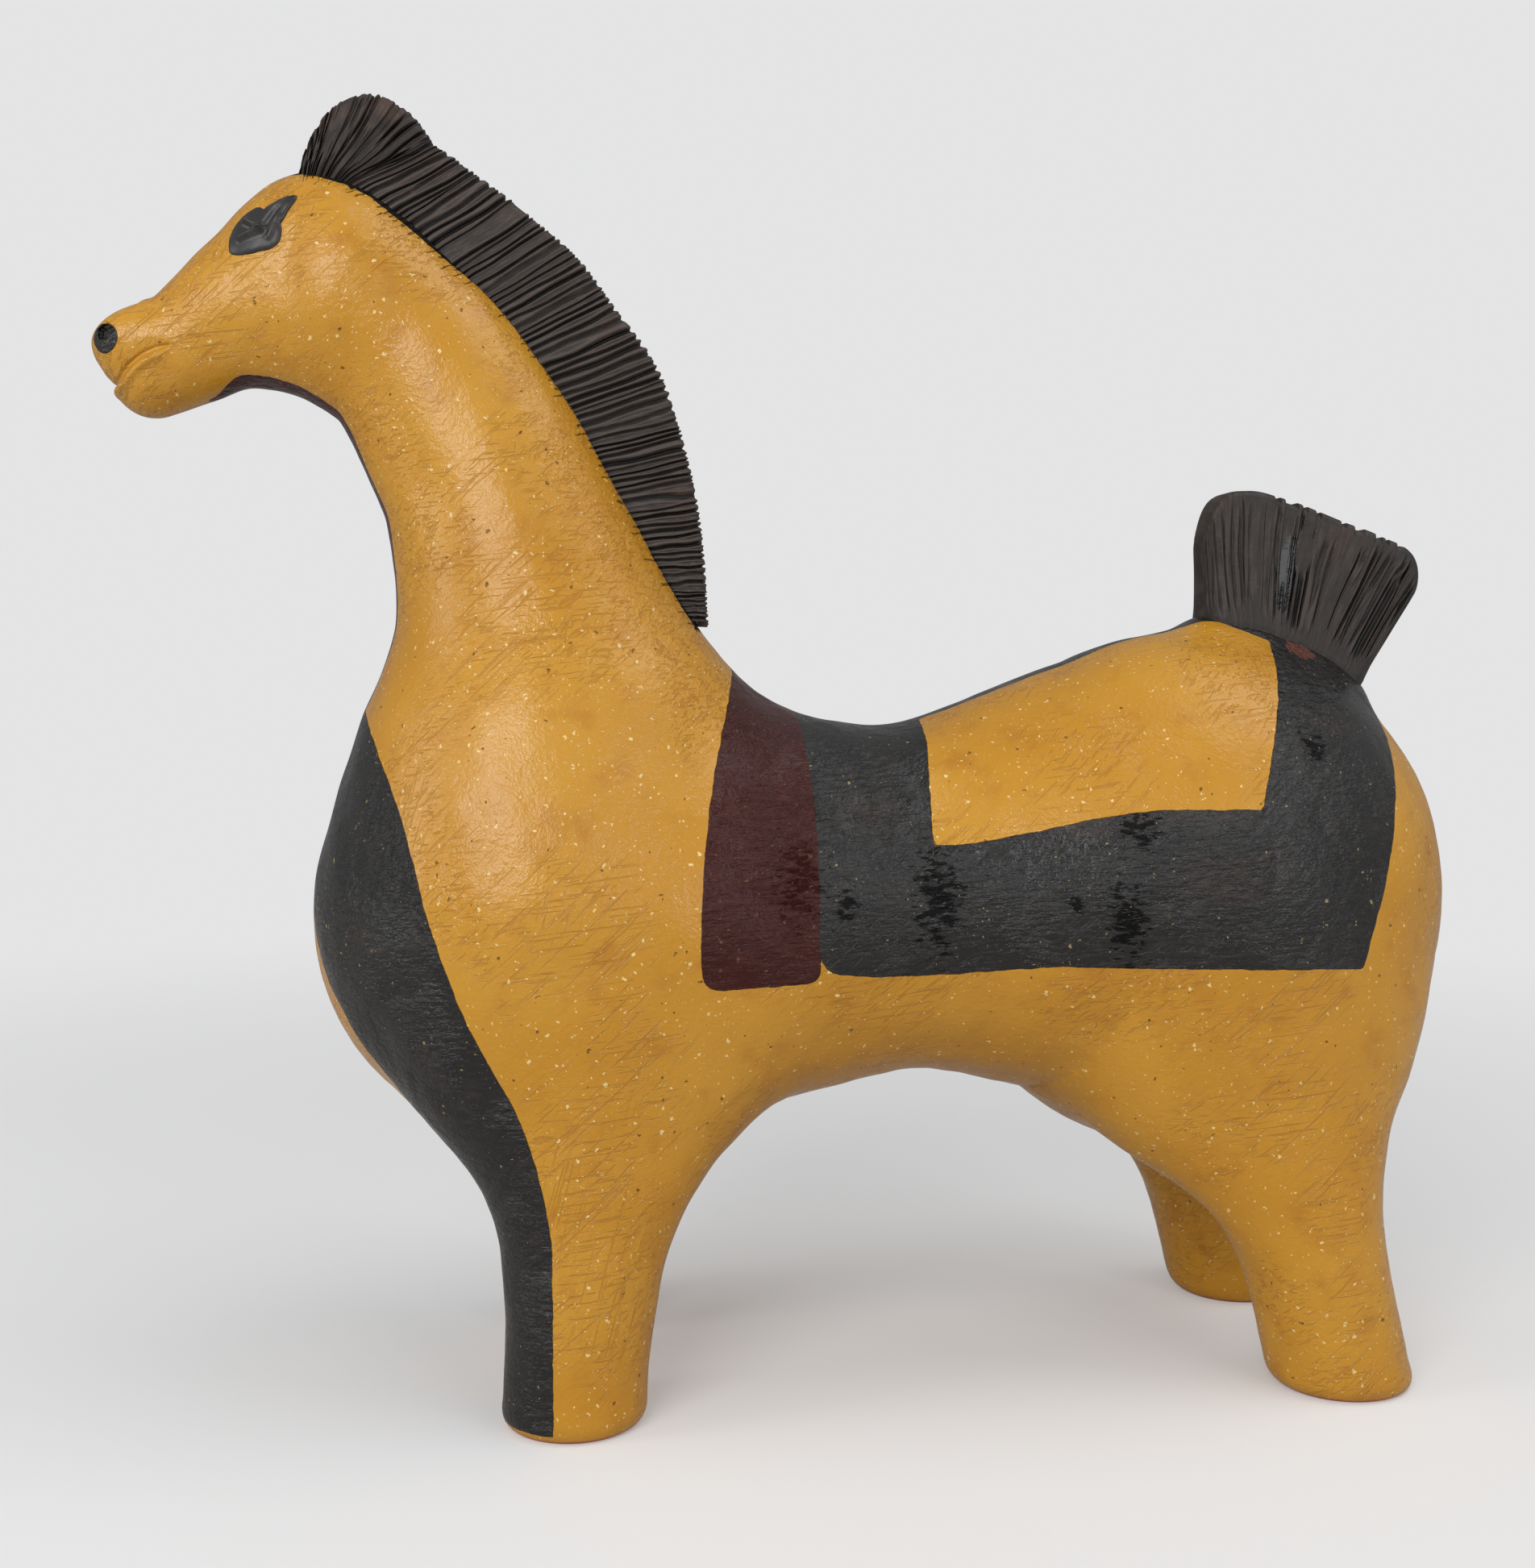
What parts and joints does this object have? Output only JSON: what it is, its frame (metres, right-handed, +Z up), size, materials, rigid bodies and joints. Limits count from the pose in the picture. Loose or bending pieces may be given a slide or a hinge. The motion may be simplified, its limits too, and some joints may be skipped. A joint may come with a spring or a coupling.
{
  "type": "horse figurine",
  "caption": "Free-standing glazed clay horse with a barrel body, stub legs, an upright neck, a small bowed head, a combed crest mane and a combed fan tail; an ornament for a shelf or table",
  "frame": {"origin": "on the ground under the middle of the figure's length, in its middle plane", "axes": "+X towards the tail, so the horse faces -X; +Y towards its right side; +Z up"},
  "size_m": [0.3028, 0.1016, 0.2819],
  "materials": {
    "ochre_glaze": "satin ochre glaze over grogged clay, with black and maroon slip bands painted on the trunk, throat and forelegs and bare terracotta at the soles",
    "black_slip": "semi-matte black slip over combed clay, worn to brown on the ridges"
  },
  "bodies": {
    "root": {"trunk": "ochre_glaze", "neck": "ochre_glaze", "head": "ochre_glaze", "foreleg_left": "ochre_glaze", "foreleg_right": "ochre_glaze", "hindleg_left": "ochre_glaze", "hindleg_right": "ochre_glaze", "mane": "black_slip", "forelock": "black_slip", "tail": "black_slip", "eye_left": "black_slip", "eye_right": "black_slip"}
  },
  "joints": []
}
